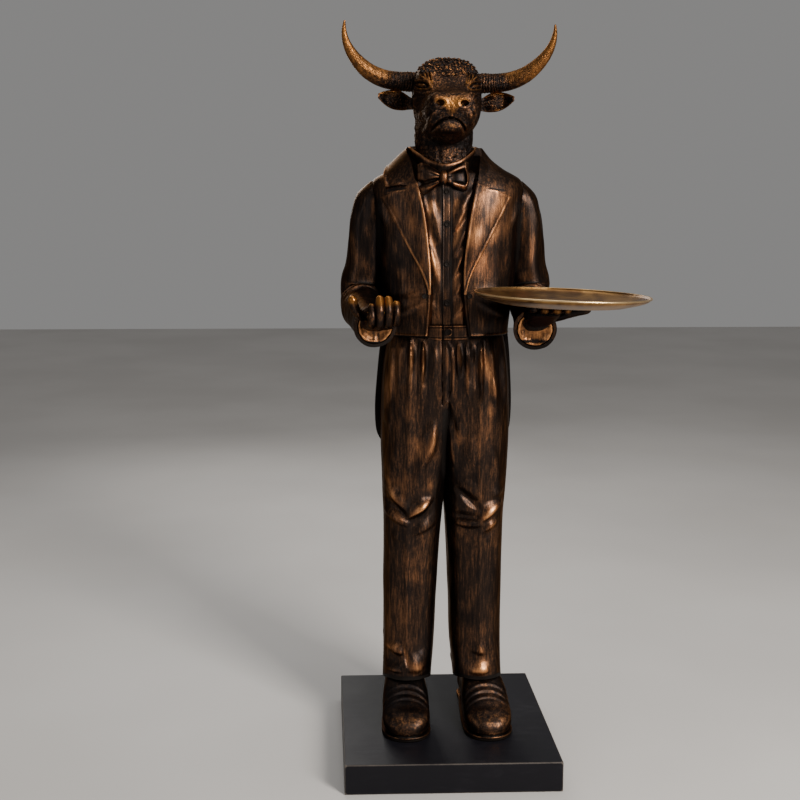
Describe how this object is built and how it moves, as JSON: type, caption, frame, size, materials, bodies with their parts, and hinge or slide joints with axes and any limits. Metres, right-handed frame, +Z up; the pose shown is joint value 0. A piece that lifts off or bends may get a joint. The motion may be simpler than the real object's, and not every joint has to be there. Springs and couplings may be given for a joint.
{
  "type": "waiter statue",
  "caption": "Life-size standing statue of a bull-headed waiter in a tailcoat on a square plinth, one hand raised with curled fingers and the other holding a lift-off round tray",
  "frame": {"origin": "centre of the plinth's underside, on the ground", "axes": "+Z up; the figure faces -Y, so its right hand is on the -X side and the tray on the +X side"},
  "size_m": [0.6308, 0.701, 1.6802],
  "materials": {
    "aged_bronze": "dark brown bronze patina with rubbed copper and gold highlights on raised edges",
    "black_plinth": "satin black, lightly worn along its edges",
    "antique_brass": "satin antique brass"
  },
  "bodies": {
    "root": {"figure": "aged_bronze", "plinth": "black_plinth", "tray": "antique_brass"}
  },
  "joints": []
}
